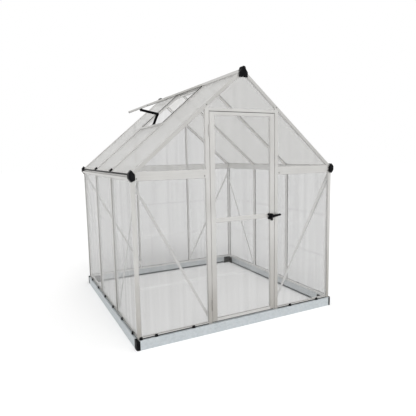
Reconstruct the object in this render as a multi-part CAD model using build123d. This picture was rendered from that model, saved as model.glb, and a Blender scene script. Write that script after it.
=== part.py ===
from build123d import *
import math
import os

# Driving dimensions, in millimetres and degrees

# Base of folded steel channel
base_width = 1850.0
base_depth = 1850.0
base_height = 75.0
base_flange = 50.0
base_sheet = 2.0
base_lip = 55.0
base_return = 44.0
corner_face = 20.0
corner_round = 14.0
corner_wall = 4.0
corner_leg = 75.0

# Aluminium bars
ledge = 15.0
frame_depth = 26.0
stud_width = 20.0
spine_width = 12.0
jamb_width = 32.0
bar_skin = 3.0
tube_wall = 2.0
groove_depth = 6.0
bottom_rail_height = 16.0
foot_line_height = 8.0
foot_line_depth = 6.0
eave_height = 1230.0
eave_rail_height = 60.0
face_line_width = 4.0
face_line_depth = 1.5

# Sheets and their play in the grooves
sheet = 3.0
roof_sheet = 4.0
sheet_play = 0.3
edge_play = 0.5
rib_width = 16.0
rib_rise = 2.0
rib_end_gap = 4.0
rib_height_shares = (0.317, 0.654)

# Roof
roof_drop = 8.0
roof_rise = 768.0
rake_width = 22.0
ridge_half = 16.0
ridge_slot = 8.0
ridge_drop = 4.0
ridge_wing = 3.0
ridge_wing_reach = 26.0
sheet_overhang = 10.0
gutter_step = 6.0
gutter_floor = 12.0
gutter_reach = 20.0
gutter_height = 20.0
gutter_wall = 2.0
clip_width = 30.0
clip_rise = 12.0

# Moulded corner connectors at the eaves and caps at the ridge ends
connector_side = 20.0
connector_front = 13.0
connector_skirt = 8.0
connector_crest = 18.0
connector_shoulder = 25.0
connector_hip = 19.0
connector_cheek = 6.0
connector_taper = 8.0
cap_thickness = 15.0
cap_hood = 26.0
cap_half_width = 35.0
cap_neck = 16.0
cap_knob = 18.0
cap_rise = 17.0
cap_shoulder = 30.0
cap_drop = 66.0
cap_notch = 16.0
cap_notch_depth = 7.0

# Diagonal braces
brace_width = 20.0
brace_thickness = 3.0
brace_end_inset = 8.0
brace_top_gap = 25.0
brace_low_gap = 27.0
side_brace_drop = 60.0

# Doorway and door
door_opening = 600.0
door_head_drop = 325.0
header_height = 20.0
door_play = 5.0
door_foot_gap = 10.0
door_depth = 22.0
stile_width = 40.0
door_end_rail = 24.0
door_mid_rail = 30.0
door_mid_height = 880.0

# Door hinges
hinge_height = 84.0
hinge_end_gap = 95.0
knuckle_radius = 5.0
knuckle_stand = 0.5
knuckle_play = 0.3
hinge_pin_radius = 2.5
pin_play = 0.05
hinge_leaf_width = 14.0
hinge_leaf = 2.0

# Door latch
latch_inset = 33.0
latch_rise = 10.0
latch_core_radius = 21.0
latch_arm_reach = 30.0
latch_arm_width = 18.0
latch_plate = 12.0
latch_arm_turns_deg = (146, 217, 279)
spindle_radius = 6.0
hub_radius = 13.0
hub_length = 18.0
hub_gap = 0.3
lever_length = 84.0
lever_root = 22.0
lever_tip = 15.0
lever_thickness = 11.0
lever_lift_deg = 6.0

# Roof vent, propped open
vent_open_deg = 21.0
vent_length = 560.0
vent_overlap = 10.0
vent_depth = 16.0
vent_rail = 30.0
vent_bead_radius = 5.0
vent_bead_play = 0.2
vent_bead_inset = 10.0
vent_web = 4.0
vent_web_length = 14.0
sill_from_apex = 564.0
sill_width = 28.0
sill_depth = 26.0
arm_width = 22.0
arm_thickness = 8.0
arm_gap = 0.3
arm_pin_radius = 4.0
arm_foot_out = 13.0
arm_foot_down = 13.0
arm_elbow_back = 113.0
arm_elbow_rise = 37.0
arm_top_inset = 28.0
arm_top_drop = 13.0
arm_bracket_width = 24.0
arm_bracket_length = 22.0

# Room beyond a piece for the tools that trim it
overrun = 60.0

# Sizes that follow from the driving dimensions
half_width = base_width / 2 - ledge
half_depth = base_depth / 2 - ledge
inner_width = half_width - frame_depth
inner_depth = half_depth - frame_depth
groove = sheet + 2 * sheet_play
roof_groove = roof_sheet + 2 * sheet_play
bite = groove_depth - edge_play
frame_base = base_height + bottom_rail_height
jamb_line = door_opening / 2 + jamb_width / 2
jamb_out = jamb_line + jamb_width / 2
side_line = (inner_depth + stud_width / 2) / 3
eave_rail_top = eave_height + eave_rail_height
roof_eave_height = eave_rail_top - roof_drop
apex_height = roof_eave_height + roof_rise
slope = math.atan2(roof_rise, half_width)
cos_slope = math.cos(slope)
sin_slope = math.sin(slope)
tan_slope = math.tan(slope)
wing_end = ridge_half + ridge_wing_reach
rake_foot = (inner_width + rake_width * sin_slope) / cos_slope
ridge_low = apex_height - ridge_half * tan_slope - rake_width / cos_slope - ridge_drop
height_limit = apex_height + overrun

WALL_TURNS_DEG = {"front": 0, "right": 90, "back": 180, "left": 270}
half_turn_deg = 180
DOWN_SLOPE = (cos_slope, 0, -sin_slope)
INTO_ROOF = (-sin_slope, 0, -cos_slope)


def wall_reach(side):
    """Distance of a wall's outer face from the middle of the house."""
    return half_depth if side in ("front", "back") else half_width


def roof_height(x, depth=0):
    """Height of a plane parallel to the roof, a given depth below its outer face, at x from the middle."""
    return apex_height - abs(x) * tan_slope - depth / cos_slope


def on_roof(down, out):
    """Point of the right-hand slope: distance down from the apex line and height above the roof plane."""
    return (down * cos_slope + out * sin_slope, apex_height - down * sin_slope + out * cos_slope)


def rectangle(left, right, low, high):
    """Rectangle between two pairs of edges."""
    return Pos((left + right) / 2, (low + high) / 2) * Rectangle(right - left, high - low)


def block(x_span, y_span, z_span):
    """Box between three pairs of faces."""
    spans = (x_span, y_span, z_span)
    middle = [(low + high) / 2 for low, high in spans]
    return Pos(*middle) * Box(*[high - low for low, high in spans])


def prism(section, origin, across, along, length):
    """Section carried from its origin, with its x axis laid across and its normal along the piece."""
    return extrude(Plane(origin=origin, x_dir=across, z_dir=along) * section, amount=length)


def polygon(points):
    """Flat face inside a closed outline."""
    return make_face(Polyline(*points, close=True))


def slot_bar(start, end, width, low, thickness):
    """Flat bar with round ends between two points of a plane, raised from low by its thickness."""
    run = math.dist(start, end)
    turn = math.degrees(math.atan2(end[1] - start[1], end[0] - start[0]))
    middle = ((start[0] + end[0]) / 2, (start[1] + end[1]) / 2)
    outline = Pos(*middle) * Rot(0, 0, turn) * SlotCenterToCenter(run, width)
    return Pos(0, 0, low) * extrude(outline, amount=thickness)


def both_ways(shape):
    """A piece of the right-hand slope and its half-turned twin on the left."""
    return [shape, Rot(0, 0, half_turn_deg) * shape]


def mirrored_x(shape):
    return mirror(shape, about=Plane.YZ)


def mirrored_y(shape):
    return mirror(shape, about=Plane.XZ)


def save(name, solids):
    """Writes one node: a single solid, or like solids that don't touch."""
    export_step(Compound(children=list(solids)) if len(solids) > 1 else solids[0], f"parts/{name}.step")


# Aluminium extrusions

def bar_section(width, depth, thickness, sides, spine=None):
    """Hollow bar seen on end: x across, y inwards from the outer face, a sheet groove on each listed side.

    A bar with a spine narrows to that width behind its grooves.
    """
    gap = thickness + 2 * sheet_play
    inside = spine or width
    lip = bar_skin + gap + tube_wall
    section = rectangle(-width / 2, width / 2, 0, lip)
    section += rectangle(-inside / 2, inside / 2, 0, depth)
    for side in sides:
        edge = side * width / 2
        bottom = edge - side * groove_depth
        section -= rectangle(min(edge, bottom), max(edge, bottom), bar_skin, bar_skin + gap)
    hollow_half = inside / 2 - tube_wall
    return section - rectangle(-hollow_half, hollow_half, lip, depth - tube_wall)


def on_wall(side, shape):
    """Turns a piece made for the front wall round to another wall."""
    return Rot(0, 0, WALL_TURNS_DEG[side]) * shape


def upright(side, along, low, high, section):
    """Bar of a given section standing in a wall."""
    reach = wall_reach(side)
    return on_wall(side, prism(section, (along, -reach, low), (1, 0, 0), (0, 0, 1), high - low))


def level_bar(side, start, end, low, height, sides, depth=frame_depth):
    """Level bar of a wall; side -1 of its section looks up and side 1 looks down."""
    reach = wall_reach(side)
    section = bar_section(height, depth, sheet, sides)
    origin = (start, -reach, low + height / 2)
    return on_wall(side, prism(section, origin, (0, 0, -1), (1, 0, 0), end - start))


def bottom_rail(side, start, end):
    """Lowest bar of a wall, with a line stepped back along the foot of its outer face."""
    reach = wall_reach(side)
    rail = level_bar(side, start, end, base_height, bottom_rail_height, (-1,))
    line_y = (-reach - overrun, -reach + foot_line_depth)
    line = block((start, end), line_y, (base_height, base_height + foot_line_height))
    return rail - on_wall(side, line)


def under_rakes(shape):
    """Part of a gable-wall piece that lies below the underside of the gable rafters."""
    far = half_width + overrun
    outline = [
        (-far, 0),
        (far, 0),
        (far, roof_height(far, rake_width)),
        (0, roof_height(0, rake_width)),
        (-far, roof_height(far, rake_width)),
    ]
    reach = half_depth + overrun
    return shape & prism(polygon(outline), (0, reach, 0), (1, 0, 0), (0, -1, 0), 2 * reach)


# Sheets

def wall_sheet(side, outline, ribs=(), rib_ends=None):
    """Clear sheet lying in the grooves of a wall, with pressed ribs across it on the outside."""
    face = wall_reach(side) - bar_skin - sheet_play
    panel = prism(polygon(outline), (0, -face, 0), (1, 0, 0), (0, -1, 0), -sheet)
    rib = polygon([
        (-rib_width / 2, 0),
        (rib_width / 2, 0),
        (rib_width / 2 - rib_rise, -rib_rise),
        (rib_rise - rib_width / 2, -rib_rise),
    ])
    for height in ribs:
        start, end = rib_ends
        panel += prism(rib, (start, -face, height), (0, 0, -1), (1, 0, 0), end - start)
    return on_wall(side, panel)


def wall_bay(side, left, right, low, high, ribs, post_left=False, post_right=False):
    """Sheet of one bay, given the clear opening between its bars; beside a corner post its top steps down."""
    outline = [(left - bite, low - bite), (right + bite, low - bite)]
    step = high - edge_play
    if post_right:
        outline += [(right + bite, step), (right - edge_play, step), (right - edge_play, high + bite)]
    else:
        outline.append((right + bite, high + bite))
    if post_left:
        outline += [(left + edge_play, high + bite), (left + edge_play, step), (left - bite, step)]
    else:
        outline.append((left - bite, high + bite))
    return wall_sheet(side, outline, ribs, (left + rib_end_gap, right - rib_end_gap))


def rib_heights(low, high):
    return [low + share * (high - low) for share in rib_height_shares]


def gable_sheet(side, left, right, low):
    """Sheet under the gable rafters, from a level bar up, between two upright lines."""
    crown = ridge_low - edge_play
    reach = rake_width - bite
    outline = [(left, low - bite), (right, low - bite), (right, roof_height(right, reach))]
    if left < 0 < right:
        crown_x = (roof_height(0, reach) - crown) / tan_slope
        outline += [(crown_x, crown), (-crown_x, crown)]
    outline.append((left, roof_height(left, reach)))
    return wall_sheet(side, outline)


# Steel base: folded channels butted at black corner pieces

def base_rail(side, half_length):
    """Channel with an outer web, a top flange, a hanging inner lip and a bottom return."""
    reach = wall_reach(side) + ledge
    section = rectangle(0, base_sheet, 0, base_height)
    section += rectangle(0, base_flange, base_height - base_sheet, base_height)
    section += rectangle(base_flange - base_sheet, base_flange, base_height - base_lip, base_height)
    section += rectangle(0, base_return, 0, base_sheet)
    return on_wall(side, prism(section, (-half_length, -reach, 0), (0, 1, 0), (1, 0, 0), 2 * half_length))


def base_corner():
    """Moulded corner of the base at front left, rounded outside and hollow from below."""
    left, front = -base_width / 2, -base_depth / 2
    piece = block((left, left + corner_face), (front, front + base_flange), (0, base_height))
    outer_edge = piece.edges().filter_by(Axis.Z).sort_by(lambda edge: edge.center().X + edge.center().Y)[0]
    piece = fillet(outer_edge, corner_round)
    pocket_x = (left + corner_wall, left + corner_face - corner_wall)
    pocket_y = (front + corner_round, front + base_flange - corner_wall)
    return piece - block(pocket_x, pocket_y, (-overrun, base_height - corner_wall))


def base_inner_corner():
    """Moulded angle inside the base at front left, against the lips of the two channels that meet there."""
    left, front = base_flange - base_width / 2, base_flange - base_depth / 2
    outer_end, wall_end = left + corner_leg, left + corner_wall
    front_end, front_wall = front + corner_leg, front + corner_wall
    piece = block((left, outer_end), (front, front_wall), (0, base_height))
    return piece + block((left, wall_end), (front, front_end), (0, base_height))


def four_corners(shape):
    """A front-left piece and its mirror images at the other corners."""
    back = mirrored_y(shape)
    return [shape, mirrored_x(shape), back, mirrored_x(back)]


# Corner posts: square tubes with a groove for each of the two walls

def corner_post():
    section = rectangle(0, frame_depth, 0, frame_depth)
    opening = frame_depth - groove_depth
    section -= rectangle(opening, frame_depth, bar_skin, bar_skin + groove)
    section -= rectangle(bar_skin, bar_skin + groove, opening, frame_depth)
    inner = bar_skin + groove + tube_wall
    section -= rectangle(inner, frame_depth - tube_wall, inner, frame_depth - tube_wall)
    origin = (-half_width, -half_depth, base_height)
    return prism(section, origin, (1, 0, 0), (0, 0, 1), eave_height - base_height)


# Eave rails of the two gable walls, with a line pressed along their faces

def eave_rail(side, start, end):
    reach = wall_reach(side)
    rail = level_bar(side, start, end, eave_height, eave_rail_height, (-1, 1))
    middle = eave_height + eave_rail_height / 2
    line = block(
        (start, end),
        (-reach - overrun, -reach + face_line_depth),
        (middle - face_line_width / 2, middle + face_line_width / 2),
    )
    return under_rakes(rail - on_wall(side, line))


# Side eave beams with their gutters

def eave_gutter():
    """Right-hand beam: hollow, grooved for the wall sheets, sloped under the roof, with an open trough."""
    outer, inner = half_width, inner_width
    top_depth = bar_skin + roof_groove
    body = polygon([
        (inner, eave_height),
        (outer, eave_height),
        (outer, roof_height(outer, top_depth)),
        (inner, roof_height(inner, top_depth)),
    ])
    groove_out = outer - bar_skin
    body -= rectangle(groove_out - groove, groove_out, eave_height, eave_height + groove_depth)
    hollow_out = groove_out - groove - tube_wall
    hollow_top = roof_height(hollow_out, top_depth) - tube_wall
    body -= rectangle(inner + tube_wall, hollow_out, eave_height + tube_wall, hollow_top)
    floor = eave_height + gutter_step
    body += polygon([
        (outer, floor),
        (outer + gutter_floor, floor),
        (outer + gutter_reach, floor + gutter_height),
        (outer + gutter_reach - gutter_wall, floor + gutter_height),
        (outer + gutter_floor - gutter_wall, floor + gutter_wall),
        (outer, floor + gutter_wall),
    ])
    return prism(body, (0, inner_depth, 0), (1, 0, 0), (0, -1, 0), 2 * inner_depth)


# Rafters

def gable_rafter():
    """Right rake of the front gable, grooved for two sheets, plumb at the ridge and square at its foot."""
    section = rectangle(-rake_width / 2, rake_width / 2, 0, frame_depth)
    under = rake_width / 2 - groove_depth
    section -= rectangle(under, rake_width / 2, bar_skin, bar_skin + groove)
    top = bar_skin - rake_width / 2
    section -= rectangle(top, top + roof_groove, frame_depth - groove_depth, frame_depth)
    hollow_low = bar_skin + groove + tube_wall
    hollow_top = top + roof_groove + tube_wall
    section -= rectangle(hollow_top, rake_width / 2 - tube_wall, hollow_low, frame_depth - tube_wall)
    start_x, start_z = on_roof(0, -rake_width / 2)
    bar = prism(section, (start_x, -half_depth, start_z), INTO_ROOF, DOWN_SLOPE, rake_foot)
    return bar & block((ridge_half, half_width), (-half_depth, half_depth), (0, height_limit))


def roof_rafter(along):
    """Middle rafter of the right-hand slope, cut plumb at the ridge and at the eave beam."""
    section = bar_section(stud_width, frame_depth, roof_sheet, (-1, 1), spine_width)
    length = half_width / cos_slope
    bar = prism(section, (0, along, apex_height), (0, -1, 0), DOWN_SLOPE, length)
    return bar & block((ridge_half, inner_width), (-half_depth, half_depth), (0, height_limit))


def ridge_beam():
    """Ridge: a hollow core slotted for the roof sheets, under a peaked cap that covers the rafters' heads."""
    wing_top = -ridge_wing
    section = polygon([
        (-ridge_half, ridge_low),
        (ridge_half, ridge_low),
        (ridge_half, roof_height(ridge_half)),
        (wing_end, roof_height(wing_end)),
        (wing_end, roof_height(wing_end, wing_top)),
        (0, roof_height(0, wing_top)),
        (-wing_end, roof_height(wing_end, wing_top)),
        (-wing_end, roof_height(wing_end)),
        (-ridge_half, roof_height(ridge_half)),
    ])
    slot_top, slot_low = bar_skin, bar_skin + roof_groove
    deep = ridge_half - ridge_slot
    for side in (-1, 1):
        section -= polygon([
            (side * deep, roof_height(deep, slot_top)),
            (side * ridge_half, roof_height(ridge_half, slot_top)),
            (side * ridge_half, roof_height(ridge_half, slot_low)),
            (side * deep, roof_height(deep, slot_low)),
        ])
    hollow = ridge_half - tube_wall
    hollow_top = roof_height(ridge_half, slot_low) - tube_wall
    section -= rectangle(-hollow, hollow, ridge_low + tube_wall, hollow_top)
    return prism(section, (0, half_depth, 0), (1, 0, 0), (0, -1, 0), 2 * half_depth)


# Roof sheets

def roof_sheet_piece(near, far, top, bottom, notch_near, notch_far):
    """Sheet of the right-hand slope between two edges along Y; a notched edge steps in past the rakes."""
    notch_start = inner_width / cos_slope - edge_play
    notch_in = groove_depth
    outline = [(top, near)]
    if notch_near:
        outline += [(notch_start, near), (notch_start, near + notch_in), (bottom, near + notch_in)]
    else:
        outline.append((bottom, near))
    if notch_far:
        outline += [(bottom, far - notch_in), (notch_start, far - notch_in), (notch_start, far)]
    else:
        outline.append((bottom, far))
    outline.append((top, far))
    x, z = on_roof(0, -bar_skin - sheet_play)
    face = Plane(origin=(x, 0, z), x_dir=DOWN_SLOPE, z_dir=(sin_slope, 0, cos_slope))
    return extrude(face * polygon(outline), amount=-roof_sheet)


# Black clips over the feet of the roof sheets

def eave_clip(along):
    """T-shaped clip between two roof sheets, its stem standing on the eave beam."""
    stem_half = stud_width / 2 - groove_depth - edge_play
    low = -bar_skin - roof_groove
    start = (inner_width + edge_play - low * sin_slope) / cos_slope
    end = half_width / cos_slope
    section = rectangle(-stem_half, stem_half, low, -bar_skin)
    section += rectangle(-clip_width / 2, clip_width / 2, -bar_skin, clip_rise - bar_skin)
    x, z = on_roof(start, 0)
    return prism(section, (x, along, z), (0, 1, 0), DOWN_SLOPE, end - start)


# Moulded connectors

def eave_connector():
    """Front-left corner piece: a six-sided block on the post, with a face square to the rake's foot."""
    outer = half_width + connector_side
    skirt = eave_height - connector_skirt
    crest_x, crest_z = on_roof(rake_foot, connector_crest)
    outline = [
        on_roof(rake_foot, -rake_width),
        (crest_x, crest_z),
        (outer, crest_z - connector_shoulder),
        (outer, eave_height + connector_hip),
        (half_width, skirt),
        (inner_width, eave_height + connector_cheek),
    ]
    front, back = -half_depth - connector_front, -inner_depth
    side_view = polygon([(-x, z) for x, z in outline])
    body = prism(side_view, (0, back, 0), (1, 0, 0), (0, -1, 0), back - front)
    end_view = polygon([
        (back, skirt),
        (front + connector_taper / 2, skirt),
        (front, skirt + connector_taper),
        (front, crest_z - connector_taper),
        (front + connector_taper / 2, crest_z),
        (back, crest_z),
    ])
    body &= prism(end_view, (-outer, 0, 0), (0, 1, 0), (1, 0, 0), outer - inner_width)
    post_room = block((-half_width, -inner_width), (-half_depth, back), (0, eave_height))
    return body - post_room


def apex_cap():
    """Front ridge cap: a bell-shaped plate with a round knob, a notch below and a hood over the ridge."""
    knob_centre = apex_height + cap_rise - cap_knob
    shoulder_z = apex_height - cap_shoulder
    low = apex_height - cap_drop
    plate = polygon([
        (-cap_half_width, low),
        (-cap_notch / 2, low),
        (0, low + cap_notch_depth),
        (cap_notch / 2, low),
        (cap_half_width, low),
        (cap_half_width, shoulder_z),
        (cap_neck, knob_centre),
        (-cap_neck, knob_centre),
        (-cap_half_width, shoulder_z),
    ])
    plate += Pos(0, knob_centre) * Circle(cap_knob)
    cap = prism(plate, (0, -half_depth, 0), (1, 0, 0), (0, -1, 0), cap_thickness)
    lowest_hood = roof_height(0, -ridge_wing)
    over_ridge = polygon([
        (-wing_end, roof_height(wing_end, -ridge_wing)),
        (0, lowest_hood),
        (wing_end, roof_height(wing_end, -ridge_wing)),
        (wing_end, height_limit),
        (-wing_end, height_limit),
    ])
    hood = prism(plate & over_ridge, (0, cap_hood - half_depth, 0), (1, 0, 0), (0, -1, 0), cap_hood)
    return cap + hood


# Braces

def wall_brace(side, end_sign, line, inner, drop):
    """Flat bar inside a wall, from the corner post near the eave to the foot of the next upright."""
    reach = wall_reach(side)
    top = (end_sign * (inner + brace_end_inset), eave_height - brace_top_gap - drop)
    foot = (end_sign * line, frame_base + brace_low_gap)
    bar = slot_bar(top, foot, brace_width, 0, brace_thickness)
    plane = Plane(origin=(0, frame_depth - reach, 0), x_dir=(1, 0, 0), z_dir=(0, -1, 0))
    return on_wall(side, plane * Pos(0, 0, -brace_thickness) * bar)


# Door, its hinges and its latch

door_head = apex_height - door_head_drop
leaf_half = door_opening / 2 - door_play
leaf_low = base_height + door_foot_gap
leaf_top = door_head - door_play
door_inner = leaf_half - stile_width
hinge_x = -door_opening / 2 + door_play / 2
hinge_y = -half_depth - knuckle_radius - knuckle_stand
hinge_feet = (leaf_low + hinge_end_gap, leaf_top - hinge_end_gap - hinge_height)
latch_x = leaf_half - latch_inset
latch_height = door_mid_height + latch_rise


def door_stile(side):
    section = bar_section(stile_width, door_depth, sheet, (-side,))
    middle = side * (leaf_half - stile_width / 2)
    return prism(section, (middle, -half_depth, leaf_low), (1, 0, 0), (0, 0, 1), leaf_top - leaf_low)


def hinge_knuckle(low, high, leaf_side, hole_radius, pin=None):
    """Barrel with a leaf on one side; the jamb's barrel carries the pin, the door's barrels turn on it."""
    barrel = Pos(hinge_x, hinge_y, low) * extrude(Circle(knuckle_radius), amount=high - low)
    leaf_x = sorted((hinge_x, hinge_x + leaf_side * hinge_leaf_width))
    barrel += block(leaf_x, (-half_depth - hinge_leaf, -half_depth), (low, high))
    if pin is None:
        hole_start = Pos(hinge_x, hinge_y, low - overrun)
        return barrel - hole_start * extrude(Circle(hole_radius), amount=high - low + 2 * overrun)
    pin_low, pin_high = pin
    return barrel + Pos(hinge_x, hinge_y, pin_low) * extrude(Circle(hole_radius), amount=pin_high - pin_low)


def door_hinge(low):
    """One hinge: the jamb's middle knuckle with its pin, and the door's knuckles above and below."""
    third = hinge_height / 3
    lower, upper = low + third, low + 2 * third
    jamb_part = hinge_knuckle(lower, upper, -1, hinge_pin_radius, (low, low + hinge_height))
    bore = hinge_pin_radius + pin_play
    below = hinge_knuckle(low, lower - knuckle_play, 1, bore)
    above = hinge_knuckle(upper + knuckle_play, low + hinge_height, 1, bore)
    return jamb_part, [below, above]


def across_door(sketch, y, thickness):
    """Sketch drawn facing the door, raised outwards from a given y about the latch centre."""
    return prism(sketch, (latch_x, y, latch_height), (1, 0, 0), (0, -1, 0), thickness)


def latch_plate_piece():
    """Plate behind the lever: a round core with short round-ended arms, bored for the spindle."""
    star = Circle(latch_core_radius)
    for turn in latch_arm_turns_deg:
        arm = Pos(latch_arm_reach / 2, 0) * SlotCenterToCenter(latch_arm_reach, latch_arm_width)
        star += Rot(0, 0, turn) * arm
    plate = across_door(star, -half_depth, latch_plate)
    return plate - across_door(Circle(spindle_radius + pin_play), -half_depth, latch_plate)


def latch_lever():
    """Lever with a round hub, its spindle in the plate, tapering to a round tip beside the jamb."""
    hub_y = -half_depth - latch_plate - hub_gap
    lever = across_door(Circle(spindle_radius), -half_depth, latch_plate + hub_gap)
    lever += across_door(Circle(hub_radius), hub_y, hub_length)
    arm = polygon([
        (0, -lever_root / 2),
        (lever_length - lever_tip / 2, -lever_tip / 2),
        (lever_length - lever_tip / 2, lever_tip / 2),
        (0, lever_root / 2),
    ])
    arm += Pos(lever_length - lever_tip / 2, 0) * Circle(lever_tip / 2)
    arm_y = hub_y - hub_length + lever_thickness
    return lever + across_door(Rot(0, 0, lever_lift_deg) * arm, arm_y, lever_thickness)


# Roof vent

vent_clear = side_line - stud_width / 2
vent_half = vent_clear + vent_overlap
bead_down = (wing_end - vent_bead_inset) / cos_slope
hinge_point = on_roof(bead_down, ridge_wing + vent_bead_radius + vent_bead_play)
vent_angle = math.radians(vent_open_deg)
FLAP_ALONG = (math.cos(vent_angle), 0, -math.sin(vent_angle))
FLAP_OUT = (math.sin(vent_angle), 0, math.cos(vent_angle))


def on_flap(along, out):
    """Point of the open flap: distance from the hinge bead and height above the flap's middle."""
    x = hinge_point[0] + along * FLAP_ALONG[0] + out * FLAP_OUT[0]
    z = hinge_point[1] + along * FLAP_ALONG[2] + out * FLAP_OUT[2]
    return (x, z)


def vent_side_rail(side):
    section = bar_section(vent_rail, vent_depth, roof_sheet, (side,))
    x, z = on_flap(vent_web_length, vent_depth / 2)
    middle = side * (vent_half - vent_rail / 2)
    return prism(section, (x, middle, z), (0, -1, 0), FLAP_ALONG, vent_length - vent_web_length)


def vent_end_rail(start, grooved_side):
    """Rail across the flap from a distance along it; side 1 of its section looks away from the hinge."""
    section = bar_section(vent_rail, vent_depth, roof_sheet, (grooved_side,))
    x, z = on_flap(start + vent_rail / 2, vent_depth / 2)
    inside = vent_half - vent_rail
    return prism(section, (x, -inside, z), FLAP_ALONG, (0, 1, 0), 2 * inside)


def vent_hinge_bead():
    """Round bead and web along the flap's head, lying on the ridge wing."""
    inside = vent_half - vent_rail
    section = rectangle(0, vent_web_length, -vent_web / 2, vent_web / 2) + Circle(vent_bead_radius)
    return prism(section, (hinge_point[0], -inside, hinge_point[1]), FLAP_ALONG, (0, 1, 0), 2 * inside)


def vent_sheet():
    start = vent_web_length + vent_rail - bite
    end = vent_length - vent_rail + bite
    half = vent_half - vent_rail + bite
    x, z = on_flap(0, vent_depth / 2 - bar_skin - sheet_play)
    face = Plane(origin=(x, 0, z), x_dir=FLAP_ALONG, z_dir=FLAP_OUT)
    return extrude(face * rectangle(start, end, -half, half), amount=-roof_sheet)


def vent_sill():
    """Bar across the middle bay under the flap, holding the head of the sheet below it."""
    section = bar_section(sill_width, sill_depth, roof_sheet, (1,))
    x, z = on_roof(sill_from_apex + sill_width / 2, 0)
    return prism(section, (x, -vent_clear, z), DOWN_SLOPE, (0, 1, 0), 2 * vent_clear)


def side_elevation(shape, y):
    """Stands a piece drawn in x and z upright at a given y; its thickness then runs towards +Y."""
    return Plane(origin=(0, y, 0), x_dir=(1, 0, 0), z_dir=(0, -1, 0)) * mirror(shape, about=Plane.XY)


def vent_arm():
    """Two-part prop: a lower link on the sill with the elbow pin, an upper link under the flap's end rail."""
    foot = on_roof(sill_from_apex - arm_foot_out, -arm_foot_down)
    elbow = on_roof(sill_from_apex - arm_elbow_back, arm_elbow_rise)
    top_along = vent_length - arm_top_inset
    top = on_flap(top_along, -vent_depth / 2 - arm_top_drop)
    bracket_half = arm_bracket_width / 2
    lower = side_elevation(slot_bar(foot, elbow, arm_width, 0, arm_thickness), -arm_thickness - arm_gap)
    pin = Pos(*elbow) * extrude(Circle(arm_pin_radius), amount=2 * arm_thickness + arm_gap)
    lower += side_elevation(pin, -arm_thickness - arm_gap)
    foot_x, foot_z = on_roof(sill_from_apex, -arm_foot_down)
    foot_block = rectangle(-arm_bracket_length, 0, -bracket_half, bracket_half)
    lower += prism(foot_block, (foot_x, 0, foot_z), DOWN_SLOPE, (0, 1, 0), -bracket_half)
    upper = side_elevation(slot_bar(elbow, top, arm_width, 0, arm_thickness), 0)
    hole = Pos(*elbow) * extrude(Circle(arm_pin_radius + pin_play), amount=arm_thickness)
    upper -= side_elevation(hole, 0)
    top_x, top_z = on_flap(top_along, -vent_depth / 2)
    top_block = rectangle(-bracket_half, bracket_half, -arm_bracket_length, 0)
    upper += prism(top_block, (top_x, 0, top_z), FLAP_ALONG, (0, -1, 0), -bracket_half)
    return [lower, upper]


# Assembly

os.makedirs("parts", exist_ok=True)

front_base_half = base_width / 2 - corner_face
side_base_half = base_depth / 2 - base_flange
save("base_rail_front", [base_rail("front", front_base_half)])
save("base_rail_back", [base_rail("back", front_base_half)])
save("base_rail_left", [base_rail("left", side_base_half)])
save("base_rail_right", [base_rail("right", side_base_half)])
save("base_corners", four_corners(base_corner()) + four_corners(base_inner_corner()))

front_bottom = bottom_rail("front", -inner_width, -jamb_out)
save("bottom_rail_front", [front_bottom, mirrored_x(front_bottom)])
back_bottom = bottom_rail("back", -inner_width, inner_width)
save("bottom_rail_back", [back_bottom])
side_bottom = bottom_rail("right", -inner_depth, inner_depth)
save("bottom_rails_sides", [side_bottom, mirrored_x(side_bottom)])

save("corner_posts", four_corners(corner_post()))
stud_section = bar_section(stud_width, frame_depth, sheet, (-1, 1), spine_width)
side_studs = []
for along in (-side_line, side_line):
    side_studs.append(upright("right", along, frame_base, eave_height, stud_section))
save("side_wall_studs", side_studs + [mirrored_x(stud) for stud in side_studs])
back_stud = under_rakes(upright("back", jamb_line, frame_base, height_limit, stud_section))
save("back_wall_studs", [back_stud, mirrored_x(back_stud)])
jamb_section = bar_section(jamb_width, frame_depth, sheet, (1,))
right_jamb = under_rakes(upright("front", jamb_line, base_height, height_limit, jamb_section))
save("door_jambs", [right_jamb, mirrored_x(right_jamb)])

front_eave = eave_rail("front", jamb_out, inner_width)
save("eave_rail_front", [front_eave, mirrored_x(front_eave)])
back_in, back_out = jamb_line - stud_width / 2, jamb_line + stud_width / 2
back_eave = eave_rail("back", back_out, inner_width)
middle_eave = eave_rail("back", -back_in, back_in)
save("eave_rail_back", [back_eave, middle_eave, mirrored_x(back_eave)])
save("eave_gutters", both_ways(eave_gutter()))

front_rake = gable_rafter()
save("front_gable_rafters", [front_rake, mirrored_x(front_rake)])
back_rake = mirrored_y(front_rake)
save("back_gable_rafters", [back_rake, mirrored_x(back_rake)])
rafters = [roof_rafter(along) for along in (-side_line, side_line)]
save("roof_rafters", [twin for rafter in rafters for twin in both_ways(rafter)])
save("ridge_beam", [ridge_beam()])
header_half = door_opening / 2
header = level_bar("front", -header_half, header_half, door_head, header_height, (-1,))
save("door_header", [under_rakes(header)])

gable_braces = []
side_braces = []
for sign in (-1, 1):
    for side in ("front", "back"):
        gable_braces.append(wall_brace(side, sign, jamb_line, inner_width, 0))
    for side in ("left", "right"):
        side_braces.append(wall_brace(side, sign, side_line, inner_depth, side_brace_drop))
save("gable_wall_braces", gable_braces)
save("side_wall_braces", side_braces)

save("eave_connectors", four_corners(eave_connector()))
front_cap = apex_cap()
save("apex_caps", [front_cap, mirrored_y(front_cap)])
clips = [eave_clip(along) for along in (-side_line, side_line)]
save("eave_clips", [twin for clip in clips for twin in both_ways(clip)])

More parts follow.
